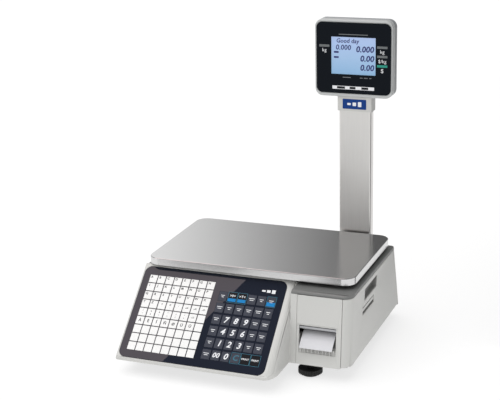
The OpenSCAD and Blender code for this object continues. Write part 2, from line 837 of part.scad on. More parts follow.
// Front bezel: a leaning face with a wedge-shaped recess that leads up to the slot
module printer_front() {
    z0 = case_lift + 0.3;
    z1 = door_top;
    lip_t = 2;
    ribs = 10;
    back = front_y + recess_depth;
    color(ABS) {
        difference() {
            union() {
                prism_x([[front_at(z0), z0], [front_at(z0) + wall, z0],
                    [front_at(z1) + wall, z1], [front_at(z1), z1]], face_x0, face_x1);
                prism_x([[front_at(recess_foot), recess_foot - lip_t - 4],
                    [front_at(recess_foot) + wall, recess_foot - lip_t - 4],
                    [back, slot_sill - lip_t - 2], [back, slot_sill - 0.6],
                    [front_at(slot_sill) + wall, slot_sill - 0.6],
                    [front_at(slot_top) + wall, slot_top + lip_t],
                    [front_at(slot_top), slot_top + lip_t]],
                    recess_x0 - lip_t, recess_x1 + lip_t);
            }
            prism_x([[front_y - 1, recess_foot], [front_at(recess_foot) + 0.6, recess_foot],
                [back - 0.5, slot_sill - 1.4], [back + 1, slot_sill - 1.4],
                [back + 1, slot_top], [front_y - 1, slot_top]], recess_x0, recess_x1);
        }
        // comb of ribs at the foot of the slope
        for (i = [0:ribs - 1])
            translate([recess_x0 + 4 + i * (recess_w - 8) / (ribs - 1), 0, 0])
                prism_x([[front_at(recess_foot), recess_foot - 1],
                    [front_at(recess_foot + 9), recess_foot + 9],
                    [front_at(recess_foot + 9) + 3, recess_foot + 9],
                    [front_at(recess_foot) + 5, recess_foot + 3]], -0.9, 0.9);
    }
}

module printer_frame() {
    top = pivot_z + 6;
    color(ALLOY) difference() {
        union() {
            // left plate, with the two spindles that carry the rolls
            block([plate_x, front_y + 27, floor_z], [plate_x + plate_t, roll_y + 40, roll_z + 24]);
            block([plate_x, front_y + 27, floor_z], [plate_x + plate_t, pivot_y + 8, top]);
            rod_x(roll_y, roll_z, core_r - 3 - shaft_fit, plate_x + plate_t - eps, label_x + label_w / 2 + 3);
            rod_x(reel_y, reel_z, shaft_r, plate_x + plate_t - eps, label_x + label_w / 2 + 3);
            // right cheek, tied to the left plate by three bars
            block([cheek_x, front_y + 27, platen_z - 12], [cheek_x + plate_t, guide_y + 6, top]);
            rod_x(guide_y, guide_z, guide_r, plate_x + 1, cheek_x + 1);
            rod_x(platen_y - 10, platen_z - 10, 2, plate_x + 1, cheek_x + 1);
            rod_x(guide_y, platen_z - 9, 2, plate_x + 1, cheek_x + 1);
            // edge over which the labels peel off their backing
            prism_x([[peel_y, platen_z + 6.6], [peel_y, platen_z + 5.8],
                [peel_y + 5.4, platen_z + 3.5], [peel_y + 5.4, platen_z + 7.4]],
                plate_x + 1, cheek_x + 1);
        }
        for (x = [plate_x, cheek_x]) {
            rod_x(platen_y, platen_z, shaft_r + shaft_fit, x - 1, x + plate_t + 1);
            rod_x(pivot_y, pivot_z, pivot_r + shaft_fit, x - 1, x + plate_t + 1);
        }
        rod_x(lever_y, lever_z, pivot_r, cheek_x - 1, cheek_x + plate_t + 1);
    }
}

lever_y = pivot_y - 4;
lever_z = pivot_z - 8;

// Thermal head: a block with cooling fins on a pivot bar
module print_head() {
    x0 = label_x - label_w / 2 - 2;
    x1 = label_x + label_w / 2 + 2;
    z0 = platen_z + platen_r + 2 * paper_gap + paper_t;
    color(ALLOY) {
        difference() {
            block([x0, platen_y - 12, z0], [x1, pivot_y + 3, pivot_z + 3]);
            for (i = [0:4]) block([x0 - 1, platen_y - 8 + i * 5, z0 + 5],
                [x1 + 1, platen_y - 5.5 + i * 5, pivot_z + 4]);
        }
        rod_x(pivot_y, pivot_z, pivot_r, plate_x, cheek_x + plate_t);
    }
}

// Lever that lifts the head off the platen
module head_lever() {
    color("seagreen") {
        rod_x(lever_y, lever_z, 6, cheek_x + plate_t + 0.3, cheek_x + plate_t + 4);
        rod_x(lever_y, lever_z, pivot_r - shaft_fit, cheek_x - 0.5, cheek_x + plate_t + 1);
        block([cheek_x + plate_t + 0.3, lever_y - 32, lever_z - 3],
            [cheek_x + plate_t + 3.3, lever_y, lever_z + 3]);
        block([cheek_x + plate_t + 0.3, lever_y - 38, lever_z - 4],
            [cheek_x + plate_t + 9, lever_y - 28, lever_z + 4]);
    }
}

module platen_roller() {
    color([0.2, 0.2, 0.21]) rod_x(platen_y, platen_z, platen_r,
        label_x - label_w / 2 - 1, label_x + label_w / 2 + 1);
    color(STEEL) rod_x(platen_y, platen_z, shaft_r, partition_x - 22, cheek_x + plate_t);
}

// Stepper motor in line with the platen's shaft
module drive_motor() {
    color(BLACK) difference() {
        union() {
            rod_x(platen_y, platen_z, 17, partition_x - 28, bay_x0 + 1);
            block([bay_x0 + 0.2, platen_y - 13, platen_z - 20], [plate_x, platen_y + 20, platen_z + 17]);
        }
        rod_x(platen_y, platen_z, shaft_r + shaft_fit, partition_x - 24, plate_x + 1);
    }
}

module label_roll() {
    color(PAPER) difference() {
        rod_x(roll_y, roll_z, roll_r, label_x - label_w / 2, label_x + label_w / 2);
        rod_x(roll_y, roll_z, core_r - 3, label_x - label_w / 2 - 1, label_x + label_w / 2 + 1);
    }
}

module takeup_spool() {
    x0 = plate_x + plate_t + 1;
    color(BLACK) difference() {
        union() {
            rod_x(reel_y, reel_z, reel_r + 3, x0, x0 + 2);
            rod_x(reel_y, reel_z, reel_r, x0 + 2, label_x + label_w / 2 + 2);
        }
        rod_x(reel_y, reel_z, shaft_r + shaft_fit, x0 - 1, label_x + label_w / 2 + 3);
    }
}

// The web: from the roll's foot over the guide bar and the platen to the peeling edge
paper_z = platen_z + platen_r + paper_gap;
web_run = roll_y - guide_y;
web_drop = roll_z - guide_z;
web_r = roll_r + paper_gap + paper_t;
web_angle = atan2(web_drop, web_run)
    - asin((web_r + guide_r + paper_gap) / sqrt(web_run * web_run + web_drop * web_drop));
web_normal = [sin(web_angle), -cos(web_angle)];
// The empty backing goes back under the platen to the take-up spool
turn = [peel_y + 1.5, platen_z - 14];
back_run = [reel_y, reel_z] - turn;
back_r = reel_r + paper_gap + paper_t;
back_angle = atan2(back_run.y, back_run.x) - asin(back_r / norm(back_run));
web_path = [[roll_y, roll_z] + web_r * web_normal, [guide_y, guide_z] - (guide_r + paper_gap) * web_normal,
    [platen_y, paper_z], [peel_y - 0.2, platen_z + 7.3], [peel_y - 0.8, platen_z + 6.9],
    [peel_y - 0.9, platen_z + 5.6], turn, [reel_y, reel_z] + back_r * [sin(back_angle), -cos(back_angle)]];
label_path = [[peel_y - 1.5, platen_z + 7.3], [peel_y - 5, platen_z + 6],
    [peel_y - 12, platen_z + 1.5], [peel_y - 19, platen_z - 3.5],
    [peel_y - 26, platen_z - 9.5], [peel_y - 31.5, platen_z - 16]];

// Strip of the labels' width, a paper's thickness on the left of a Y-Z path
function step_at(path, i) = path[min(i + 1, len(path) - 1)] - path[max(i - 1, 0)];
function outward(path, i) = let(s = step_at(path, i)) [s.y, -s.x] / norm(s);
module strip(path) {
    prism_x(concat(path, [for (i = [len(path) - 1:-1:0]) path[i] + paper_t * outward(path, i)]),
        label_x - label_w / 2, label_x + label_w / 2);
}

module label_strip() {
    color(PAPER) {
        strip(web_path);
        strip(label_path);
    }
}

// Serrated steel blade under a plain bar, across the mouth of the slot
module tear_bar() {
    teeth = 22;
    top = slot_top - 2;
    z = slot_top - 5.6;
    y = front_at(slot_top) + 3.4;
    pitch = (recess_w - 1) / teeth;
    color(STEEL) translate([0, y, 0]) rotate([90, 0, 0])
        linear_extrude(1.6)
        polygon(concat([[recess_x1, top], [recess_x0, top], [recess_x0, z]],
            [for (i = [0:2 * teeth]) [recess_x0 + 0.5 + i * pitch / 2, z - (i % 2) * 0.8]],
            [[recess_x1, z]]));
}

// ---- side cover ----

module side_door() {
    t = wall;
    x0 = side_x - t;
    grip_lo = [grip_y - grip_l / 2, grip_top - 20];
    color(ABS) difference() {
        union() {
            // side wall and the part that turns the front corner
            intersection() {
                difference() {
                    main_solid(0);
                    main_solid(t);
                }
                translate([face_x1 + seam, 0, 0]) rotate([90, 0, 90])
                    linear_extrude(60) polygon([[front_y - 1, hinge_z],
                        [door_rear_foot - seam, hinge_z],
                        [door_rear_foot - seam - door_rear_lean, door_top],
                        [front_y - 1, door_top]]);
            }
            // knuckles rolled round the hinge pin
            for (y = door_knuckles)
                rod_y(hinge_x, hinge_z, hinge_r, y - 1, y + knuckle_l);
            // well behind the finger grip, and the thumb ridge
            block([x0 - 9, grip_y - 53, grip_top - 46], [x0 + 1, grip_lo.x + grip_l + 3, grip_top + 3]);
        }
        // upper recess, open to the outside
        translate([x0 - 6, 0, 0]) rotate([90, 0, 90]) linear_extrude(20)
            polygon([[grip_lo.x + 2, grip_top - 20], [grip_lo.x + grip_l - 5, grip_top - 20],
                [grip_lo.x + grip_l, grip_top], [grip_lo.x + 7, grip_top]]);
        // slot for the latch's thumb tab
        block([x0 - 10, grip_y - 50, grip_top - 43], [side_x + 1, grip_y + 20, grip_top - 29]);
        // room above the well for the latch's hook to come down
        block([x0 - 9.5, grip_y - 29.6, grip_top + 0.7], [x0 - 5.7, grip_y - 0.4, grip_top + 4]);
        rod_y(hinge_x, hinge_z, pin_r + shaft_fit, front_y, rear_y);
        // clear of the ears on the base tray
        for (y = door_knuckles) {
            block([side_x - 20, y - 13, case_lift - 1], [hinge_x, y - 1.4, hinge_z + hinge_r + 0.3]);
            rod_y(hinge_x, hinge_z, hinge_r + 0.3, y - 13, y - 1.4);
        }
    }
}

// Spring latch: a tab in the lower slot, and a hook under the deck's edge
module door_latch() {
    x0 = side_x - wall - 9;
    color([0.80, 0.80, 0.78]) {
        block([x0 - 3.4, grip_y - 46, grip_top - 38], [x0 - 0.4, grip_y + 16, door_top - 2]);
        block([x0 - 3.4, grip_y - 49.5, grip_top - 38], [side_x - 1.2, grip_y + 19.5, grip_top - 32]);
        block([x0 - 3.4, grip_y - 29, door_top - 4.5], [x0 + 3, grip_y - 1, door_top - 2]);
    }
}

module door_hinge_pin() {
    color(STEEL) rod_y(hinge_x, hinge_z, pin_r - 0.01, front_y + 14, front_y + 298);
}

// ---- pole and display ----

module pole() {
    color(STEEL) difference() {
        round_block([pole_x - pole_w / 2, pole_y0, floor_z + 4],
            [pole_x + pole_w / 2, pole_y1, pole_top], 3);
        round_block([pole_x - pole_w / 2 + pole_t, pole_y0 + pole_t, floor_z + 3],
            [pole_x + pole_w / 2 - pole_t, pole_y1 - pole_t, pole_top + 1], 3 - pole_t);
    }
}

// Steel plug that the pole stands on, inside the socket
module pole_bracket() {
    color(ALLOY) {
        round_block([pole_x - pole_w / 2 + pole_t + 0.2, pole_y0 + pole_t + 0.2, floor_z + 4],
            [pole_x + pole_w / 2 - pole_t - 0.2, pole_y1 - pole_t - 0.2, floor_z + 60], 2);
        block([pole_x - pole_w / 2 - 0.6, pole_y0 - 0.6, tray_z],
            [pole_x + pole_w / 2 + 0.6, pole_y1 + 0.6, floor_z + 4]);
    }
}

module head_collar() {
    y0 = pole_cy - collar_d / 2;
    color(ABS) difference() {
        round_block([pole_x - collar_w / 2, y0, collar_z],
            [pole_x + collar_w / 2, y0 + collar_d, head_z], 3);
        block([pole_x - pole_w / 2 - 0.1, pole_y0 - 0.1, collar_z - 1],
            [pole_x + pole_w / 2 + 0.1, pole_y1 + 0.1, pole_top + 0.2]);
        block([pole_x - 10, pole_cy - 5, pole_top - 1], [pole_x + 10, pole_cy + 5, head_z + 1]);
    }
}

head_cz = head_z + head_h / 2;
lcd_x = head_x - 0.5;
lcd_z = head_cz + 5;
window_w = head_w - 2 * window_rim;
window_h = head_h - 2 * window_rim - 5;
window_cz = head_cz + 0.8;
bezel_w = lcd_w + 6;
bezel_h = lcd_h + 6;

// One half of the head: a tray whose front holds a window
module head_shell(y_face, y_in, y_split) {
    lo = min(y_face, y_split);
    hi = max(y_face, y_split);
    s = y_in > y_face ? 1 : -1;
    difference() {
        round_plate_y(head_x, head_cz, head_w, head_h, head_r, lo, hi);
        // hollow
        round_plate_y(head_x, head_cz, head_w - 2 * head_wall, head_h - 2 * head_wall,
            head_r - head_wall, min(y_in, y_split + s), max(y_in, y_split + s));
        // seat for the window, and the opening behind it
        round_plate_y(head_x, window_cz, window_w + 0.3, window_h + 0.3, head_r - window_rim,
            min(y_face - s, y_face + s * window_t), max(y_face - s, y_face + s * window_t));
        round_plate_y(lcd_x, lcd_z, bezel_w, bezel_h, 3, min(y_face, y_in + s), max(y_face, y_in + s));
        // way for the cable up from the collar
        block([pole_x - 10, pole_cy - 5, head_z - 1], [pole_x + 10, pole_cy + 5, head_z + head_wall + 1]);
    }
}

module head_front_case() {
    color(ABS) head_shell(head_y0, head_y0 + window_t + 2, head_split);
}

module head_rear_case() {
    color([0.55, 0.56, 0.58]) head_shell(head_y1, head_y1 - window_t - 2, head_split);
}

module display_windows() {
    color([0.03, 0.04, 0.06]) {
        round_plate_y(head_x, window_cz, window_w, window_h, head_r - window_rim - 0.15,
            head_y0, head_y0 + window_t - 0.05);
        round_plate_y(head_x, window_cz, window_w, window_h, head_r - window_rim - 0.15,
            head_y1 - window_t + 0.05, head_y1);
    }
}

module lcd_modules() {
    color([0.62, 0.76, 0.92]) {
        block([lcd_x - lcd_w / 2, head_y0 + window_t + 0.1, lcd_z - lcd_h / 2],
            [lcd_x + lcd_w / 2, head_y0 + window_t + 6, lcd_z + lcd_h / 2]);
        block([lcd_x - lcd_w / 2, head_y1 - window_t - 6, lcd_z - lcd_h / 2],
            [lcd_x + lcd_w / 2, head_y1 - window_t - 0.1, lcd_z + lcd_h / 2]);
    }
}

module display_board() {
    y = (head_y0 + head_y1) / 2;
    color(PCB) block([head_x - 62, y - 0.8, head_z + 8], [head_x + 62, y + 0.8, head_z + head_h - 8]);
    color(BLACK) for (x = [-20, 20])
        block([head_x + x - 8, y + 0.8, head_z + 20], [head_x + x + 8, y + 3.4, head_z + 36]);
}

base_tray();
upper_housing();
foot_front_left();
foot_front_right();
foot_rear_left();
foot_rear_right();
bubble_level();
housing_screws();
port_panel();
power_inlet();
power_switch();
pan();
pan_support();
pan_pads();
load_cell();
load_cell_spacers();
load_cell_bolts();
keyboard_panel();
preset_keys();
function_keys();
keyboard_board();
key_0();
key_1();
key_2();
key_3();
key_4();
key_5();
key_6();
key_7();
key_8();
key_9();
key_00();
key_clear();
key_print();
key_auto_print();
key_zero();
key_tare();
main_board();
power_supply();
printer_front();
printer_frame();
print_head();
head_lever();
platen_roller();
drive_motor();
label_roll();
takeup_spool();
label_strip();
tear_bar();
side_door();
door_latch();
door_hinge_pin();
pole();
pole_bracket();
head_collar();
head_front_case();
head_rear_case();
display_windows();
lcd_modules();
display_board();
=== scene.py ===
from math import cos, radians, sin

import bmesh
import bpy
from mathutils import Matrix, Vector


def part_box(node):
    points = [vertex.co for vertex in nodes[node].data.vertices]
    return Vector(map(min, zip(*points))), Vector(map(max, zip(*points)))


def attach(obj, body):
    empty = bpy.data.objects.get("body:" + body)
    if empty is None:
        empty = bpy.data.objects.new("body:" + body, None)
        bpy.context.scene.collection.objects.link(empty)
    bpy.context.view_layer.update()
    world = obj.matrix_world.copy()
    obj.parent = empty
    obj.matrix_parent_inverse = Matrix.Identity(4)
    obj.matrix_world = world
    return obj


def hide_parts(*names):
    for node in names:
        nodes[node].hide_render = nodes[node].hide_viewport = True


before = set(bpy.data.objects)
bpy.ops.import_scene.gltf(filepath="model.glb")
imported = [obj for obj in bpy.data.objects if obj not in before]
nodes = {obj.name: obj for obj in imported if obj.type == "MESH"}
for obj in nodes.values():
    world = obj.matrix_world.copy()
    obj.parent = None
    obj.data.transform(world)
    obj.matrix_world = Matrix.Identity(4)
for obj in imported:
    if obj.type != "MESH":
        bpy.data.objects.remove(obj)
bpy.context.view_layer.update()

MM = 0.001
scene = bpy.context.scene


# ---- Studio ----
# A pale floor, an even pale surround and a broad soft light from the upper left. The camera stands
# two metres off on the operator's right, at the height of someone leaning over the counter.

camera_data = bpy.data.cameras.new("camera")
camera_data.lens = 90.5
camera_data.sensor_width = 36
camera = bpy.data.objects.new("camera", camera_data)
camera.location = (0.7598, -1.9695, 0.9180)
camera.rotation_euler = (radians(72.984), radians(1.310), radians(21.250))
scene.collection.objects.link(camera)
scene.camera = camera
scene.view_settings.view_transform = "Standard"

surround = bpy.data.worlds.new("surround")
surround.use_nodes = True
surround.node_tree.nodes["Background"].inputs["Color"].default_value = (1, 1, 1, 1)
surround.node_tree.nodes["Background"].inputs["Strength"].default_value = 0.5
scene.world = surround

sun_data = bpy.data.lights.new("softbox", "SUN")
sun_data.energy = 1.6
sun_data.angle = radians(70)
softbox = bpy.data.objects.new("softbox", sun_data)
softbox.rotation_euler = (radians(14), radians(-16), 0)
scene.collection.objects.link(softbox)


class Number:
    """A number that varies over a surface. Arithmetic on it adds Math nodes."""

    def __init__(self, finish, socket):
        self.finish = finish
        self.socket = socket

    def reckon(self, operation, first, second):
        made = self.finish.node("ShaderNodeMath", {"operation": operation}, {0: first, 1: second})
        return Number(self.finish, made.outputs[0])

    def __add__(self, other):
        return self.reckon("ADD", self, other)

    def __sub__(self, other):
        return self.reckon("SUBTRACT", self, other)

    def __rsub__(self, other):
        return self.reckon("SUBTRACT", other, self)

    def __mul__(self, other):
        return self.reckon("MULTIPLY", self, other)

    def __gt__(self, other):
        return self.reckon("GREATER_THAN", self, other)

    def __lt__(self, other):
        return self.reckon("LESS_THAN", self, other)

    __radd__ = __add__
    __rmul__ = __mul__


class Finish:
    """A surface finish: one principled shader, and the nodes that vary it."""

    def __init__(self, name, colour, roughness, **fixed):
        self.material = bpy.data.materials.new(name)
        self.material.use_nodes = True
        self.tree = self.material.node_tree
        self.tree.nodes.clear()
        self.shader = self.node("ShaderNodeBsdfPrincipled", {},
                                {"Base Color": colour, "Roughness": roughness})
        for socket, value in fixed.items():
            self.feed(socket.replace("_", " "), value)
        self.node("ShaderNodeOutputMaterial", {}, {"Surface": self.shader.outputs[0]})

    def node(self, kind, settings, values):
        made = self.tree.nodes.new(kind)
        for name, value in settings.items():
            if name == "stops":
                stops = made.color_ramp.elements
                stops.remove(stops[1])
                stops[0].position, stops[0].color = value[0]
                for position, colour in value[1:]:
                    stops.new(position).color = colour
            else:
                setattr(made, name, value)
        for name, value in values.items():
            self.link(made.inputs[name], value)
        return made

    def link(self, socket, value):
        if isinstance(value, Number):
            value = value.socket
        if isinstance(value, bpy.types.NodeSocket):
            self.tree.links.new(value, socket)
        else:
            socket.default_value = value

    def feed(self, name, value):
        self.link(self.shader.inputs[name], value)

    def place(self, stretch=(1, 1, 1), shift=(0, 0, 0)):
        coordinates = self.node("ShaderNodeTexCoord", {}, {})
        return self.node("ShaderNodeMapping", {}, {"Vector": coordinates.outputs["Object"],
                         "Scale": stretch, "Location": shift}).outputs[0]

    def axes(self):
        made = self.node("ShaderNodeSeparateXYZ", {}, {0: self.place()})
        return [Number(self, socket) for socket in made.outputs]

    def noise(self, scale, detail=2.0, stretch=(1, 1, 1)):
        made = self.node("ShaderNodeTexNoise", {},
                         {"Vector": self.place(stretch), "Scale": scale, "Detail": detail})
        return Number(self, made.outputs[0])

    def blend(self, mask, first, second):
        return self.node("ShaderNodeMix", {"data_type": "RGBA"},
                         {0: mask, 6: first, 7: second}).outputs[2]

    def ramp(self, value, *stops):
        return self.node("ShaderNodeValToRGB", {"stops": stops}, {0: value}).outputs[0]

    def grain(self, height, depth):
        bump = self.node("ShaderNodeBump", {}, {"Height": height, "Distance": depth})
        self.feed("Normal", bump.outputs[0])


def paint(red, green, blue):
    """A colour as it looks on a screen, from 0 to 255, made linear."""
    return tuple((v / 255 / 12.92 if v < 10 else ((v / 255 + 0.055) / 1.055) ** 2.4)
                 for v in (red, green, blue)) + (1.0,)


floor_finish = Finish("floor", paint(150, 150, 150), 0.9, Emission_Color=(1, 1, 1, 1),
                      Emission_Strength=0.72)
floor_mesh = bmesh.new()
bmesh.ops.create_grid(floor_mesh, x_segments=1, y_segments=1, size=20)
floor_data = bpy.data.meshes.new("floor")
floor_mesh.to_mesh(floor_data)
floor_data.materials.append(floor_finish.material)
studio_floor = bpy.data.objects.new("floor", floor_data)
scene.collection.objects.link(studio_floor)


def card(name, centre, size, turn, *stops, tint=(1, 1, 1)):
    """A reflector that only polished surfaces see: its brightness runs along its own X."""
    glow = Finish(name, (0, 0, 0, 1), 1.0, Specular_IOR_Level=0.0, Emission_Strength=1.0)
    along = glow.axes()[0]
    glow.feed("Emission Color", glow.ramp(along * (1 / size[0]) + 0.5,
              *[(position, (*[value * part for part in tint], 1)) for position, value in stops]))
    mesh = bmesh.new()
    bmesh.ops.create_grid(mesh, x_segments=1, y_segments=1, size=0.5,
                          matrix=Matrix.Diagonal((size[0], size[1], 1, 1)))
    data = bpy.data.meshes.new(name)
    mesh.to_mesh(data)
    data.materials.append(glow.material)
    made = bpy.data.objects.new(name, data)
    made.location = centre
    made.rotation_euler = turn
    made.visible_camera = False
    made.visible_diffuse = False
    made.visible_shadow = False
    scene.collection.objects.link(made)
    return made


# the backdrop that the pan mirrors, light on its left and falling off to the right
card("backdrop_card", (-0.95, 2.5, 1.0), (3.2, 2.2), (radians(90), 0, 0),
     (0.0, 1.15), (0.34, 1.0), (0.52, 0.42), (0.64, 0.12), (1.0, 0.08))
# the ground in front that the skirt of the pan mirrors: light, then dark, then light again
card("near_ground", (-0.2, -0.72, 0.004), (0.6, 0.5), (0, 0, 0),
     (0.0, 0.95), (0.16, 0.8), (0.24, 0.2), (0.50, 0.1), (0.56, 0.75), (0.84, 0.85), (0.9, 0.03), (1.0, 0.03))
# a dark flag at the right rear takes light off the far end of the side cover
side_flag = card("side_flag", (0.62, 0.62, 0.35), (1.1, 1.0), (radians(90), 0, radians(68)),
                 (0.0, 0.02), (1.0, 0.02))
side_flag.visible_diffuse = True


# ---- Feet ----
# Four knurled levelling feet, moulded in black nylon on a steel stud, screwed up into bosses in
# the base tray. Each has a rubber sole.

def soften(name, body, finish, radius, steps=2, sharpest=30, where=None):
    """A node's surface with its triangles merged and its sharp edges rounded, in its place."""
    mesh = bmesh.new()
    mesh.from_mesh(nodes[name].data)
    bmesh.ops.remove_doubles(mesh, verts=mesh.verts, dist=2e-6)
    weight = mesh.edges.layers.float.new("bevel_weight_edge")
    for face in mesh.faces:
        face.smooth = True
    for edge in mesh.edges:
        sharp = edge.calc_face_angle(0) > radians(sharpest)
        edge.smooth = not sharp
        if sharp and (where is None or where(edge)):
            edge[weight] = 1.0
    piece = new_piece(name + "_shell", mesh, body, finish)
    bevel = piece.modifiers.new("rounding", "BEVEL")
    bevel.limit_method = "WEIGHT"
    bevel.width = radius
    bevel.segments = steps
    bevel.use_clamp_overlap = False
    bevel.loop_slide = False
    bevel.harden_normals = True
    bevel.miter_outer = "MITER_ARC"
    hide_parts(name)
    return piece


def new_piece(name, mesh, body, finish):
    data = bpy.data.meshes.new(name)
    mesh.to_mesh(data)
    mesh.free()
    data.materials.append(finish.material)
    piece = bpy.data.objects.new(name, data)
    scene.collection.objects.link(piece)
    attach(piece, body)
    return piece


def dress(finish, *names):
    for name in names:
        for slot in nodes[name].material_slots:
            slot.material = finish.material


foot_nylon = Finish("foot_nylon", paint(20, 20, 21), 0.45)
foot_nylon.grain(foot_nylon.noise(900, 3), 0.00008)
foot_nylon.feed("Roughness", foot_nylon.noise(60) * 0.3 + 0.35)
for corner in ("front_left", "front_right", "rear_left", "rear_right"):
    soften("foot_" + corner, "foot_" + corner, foot_nylon, 0.4 * MM)


# ---- Base tray ----
# A dark moulded tray that closes the case from below and carries the load cell, the boards and
# the printer. Six screws go up through it into the housing's lugs.

tray_abs = Finish("tray_abs", paint(52, 53, 55), 0.6)
tray_abs.feed("Base Color", tray_abs.blend(tray_abs.noise(14, 3), paint(47, 48, 50), paint(58, 59, 61)))
tray_abs.grain(tray_abs.noise(1400), 0.00004)
soften("base_tray", "case", tray_abs, 0.3 * MM)

plated_steel = Finish("plated_steel", paint(178, 179, 182), 0.32, Metallic=1.0)
plated_steel.feed("Roughness", plated_steel.noise(120, 4) * 0.25 + 0.2)
plated_steel.grain(plated_steel.noise(700, 2), 0.00002)
dress(plated_steel, "housing_screws", "load_cell_bolts", "door_hinge_pin", "tear_bar")


# ---- Case shell ----
# The upper housing: one injection moulding in a light warm-grey ABS with a fine eroded texture,
# from the keyboard's nose over the deck to the pole's socket.

case_abs = Finish("case_abs", paint(210, 210, 207), 0.42)
case_abs.feed("Base Color", case_abs.blend(case_abs.noise(5, 4), paint(207, 207, 204), paint(214, 214, 211)))
case_abs.grain(case_abs.noise(2600, 2) + case_abs.noise(700, 2) * 0.5, 0.00003)
case_abs.feed("Roughness", case_abs.noise(40, 3) * 0.12 + 0.38)


def shade_part(finish, mask, light_low, light_high, shade_low, shade_high):
    """Colours a plastic light, with painted shade in a darker colour where the mask is 1."""
    light = finish.blend(finish.noise(5, 4), paint(*light_low), paint(*light_high))
    dark = finish.blend(finish.noise(9, 4), paint(*shade_low), paint(*shade_high))
    finish.feed("Base Color", finish.blend(mask, light, dark))


# painted shade: the deck under the pan is coloured dark grey, down to the top of the side cover, for the
# shade that the pan's overhang casts on it
cover_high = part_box("side_door")[1]
pod_side = 90.5 * MM
ridge_back = -65.5 * MM
shell_finish = Finish("shell_abs", paint(210, 210, 207), 0.42)
side, back, height = shell_finish.axes()
past_pod = (side > pod_side) + (back > ridge_back) > 0.5
shade_part(shell_finish, (height > cover_high[2] + 0.5 * MM) * past_pod,
           (207, 207, 204), (214, 214, 211), (112, 113, 112), (122, 123, 122))
shell_finish.grain(shell_finish.noise(2600, 2) + shell_finish.noise(700, 2) * 0.5, 0.00003)
shell_finish.feed("Roughness", shell_finish.noise(40, 3) * 0.12 + 0.38)
soften("upper_housing", "case", shell_finish, 0.9 * MM, 3)
level_vial = Finish("level_vial", paint(190, 214, 92), 0.08, Transmission_Weight=0.5)
level_vial.feed("Base Color", level_vial.blend(level_vial.noise(220),
                                               paint(184, 208, 84), paint(206, 226, 120)))
dress(level_vial, "bubble_level")


# ---- Rear connectors ----
# A punched and painted steel plate at the back of a recess, with three data sockets, a moulded
# mains inlet and a rocker switch.

port_plate = Finish("port_plate", paint(150, 152, 155), 0.4, Metallic=0.9)
port_plate.feed("Base Color", port_plate.blend(port_plate.noise(90, 4),
                                               paint(140, 142, 146), paint(162, 163, 166)))
port_plate.grain(port_plate.noise(1500), 0.00002)
soften("port_panel", "case", port_plate, 0.25 * MM)
socket_black = Finish("socket_black", paint(24, 24, 25), 0.38)
socket_black.feed("Roughness", socket_black.noise(150, 3) * 0.25 + 0.28)
socket_black.grain(socket_black.noise(1700), 0.00003)
soften("power_inlet", "case", socket_black, 0.25 * MM)
soften("power_switch", "power_switch", socket_black, 0.5 * MM, 3)


# ---- Weighing works ----
# The pan's cross of cast alloy stands on a single-point load cell; four posts with rubber pads
# come up through the deck.

cast_alloy = Finish("cast_alloy", paint(168, 170, 173), 0.42, Metallic=1.0)
cast_alloy.feed("Base Color", cast_alloy.blend(cast_alloy.noise(60, 5),
                                               paint(156, 158, 162), paint(182, 184, 186)))
cast_alloy.grain(cast_alloy.noise(900, 4), 0.00006)
cast_alloy.feed("Roughness", cast_alloy.noise(200, 3) * 0.3 + 0.3)
dress(cast_alloy, "pan_support", "load_cell", "load_cell_spacers", "pole_bracket",
      "print_head", "printer_frame")
soft_rubber = Finish("soft_rubber", paint(26, 26, 27), 0.75)
soft_rubber.grain(soft_rubber.noise(800, 3), 0.00005)
soft_rubber.feed("Base Color", soft_rubber.blend(soft_rubber.noise(50), paint(22, 22, 23), paint(34, 34, 35)))
dress(soft_rubber, "pan_pads", "platen_roller")


# ---- Pan ----
# A folded stainless sheet that lifts off the four pads. It is brushed finely across its width.

pan_steel = Finish("pan_steel", paint(214, 214, 214), 0.2, Metallic=1.0)
brushing = pan_steel.noise(1.0, 3, stretch=(14, 2600, 2600))
pan_steel.feed("Base Color", pan_steel.blend(brushing, paint(204, 204, 204), paint(224, 224, 224)))
pan_steel.feed("Roughness", brushing * 0.12 + pan_steel.noise(9, 4) * 0.05 + 0.1)
pan_steel.grain(brushing, 0.000006)
pan_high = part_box("pan")[1]


def outside_rim(edge):
    """The folded edge round the pan's top."""
    return all(vertex.co.z > pan_high[2] - 0.1 * MM for vertex in edge.verts)


soften("pan", "pan", pan_steel, 1.4 * MM, 4, where=outside_rim)


# ---- Keyboard ----
# A glossy sheet printed from behind, let into the slope, with holes for rubber-mat keys. The keys
# that a hand uses most are caps of their own; the rest are moulded together in two mats.

slope = radians(42.4)
panel_t = 2 * MM
key_proud = 0.3 * MM
panel_low, panel_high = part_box("keyboard_panel")
panel_length = (panel_high[1] - panel_low[1] - panel_t * sin(slope)) / cos(slope)
panel_top_left = Vector((panel_low[0], panel_low[1] + panel_length * cos(slope),
                         panel_low[2] + panel_t * cos(slope) + panel_length * sin(slope)))
panel_face = Matrix.Translation(panel_top_left) @ Matrix.Rotation(slope, 4, "X")

panel_print = Finish("panel_print", paint(36, 40, 52), 0.06)
panel_print.feed("Base Color", panel_print.blend(panel_print.noise(3, 4),
                                                 paint(34, 38, 50), paint(39, 43, 55)))
panel_print.feed("Roughness", panel_print.noise(70, 4) * 0.012 + 0.004)


def panel_rim(edge):
    """An edge round the outside of the panel, not round a key's hole."""
    middle = panel_face.inverted() @ ((edge.verts[0].co + edge.verts[1].co) / 2)
    inside = min(middle.x, -middle.y, panel_high[0] - panel_low[0] - middle.x,
                 middle.y + panel_length)
    return inside < 6 * MM


soften("keyboard_panel", "case", panel_print, 0.3 * MM, where=panel_rim)

# overhead cards that the slope mirrors: dark over all of it, and a light one on the left whose
# edge crosses the panel aslant
overhead = 1.6
seam_top = (194.8, 0)
seam_foot = (85, 176)
light_size = 1.1


def on_panel(x, down, lift=0.0):
    """A place on the panel, from its top left corner, in millimetres."""
    return panel_face @ Matrix.Translation((x * MM, -down * MM, lift * MM))


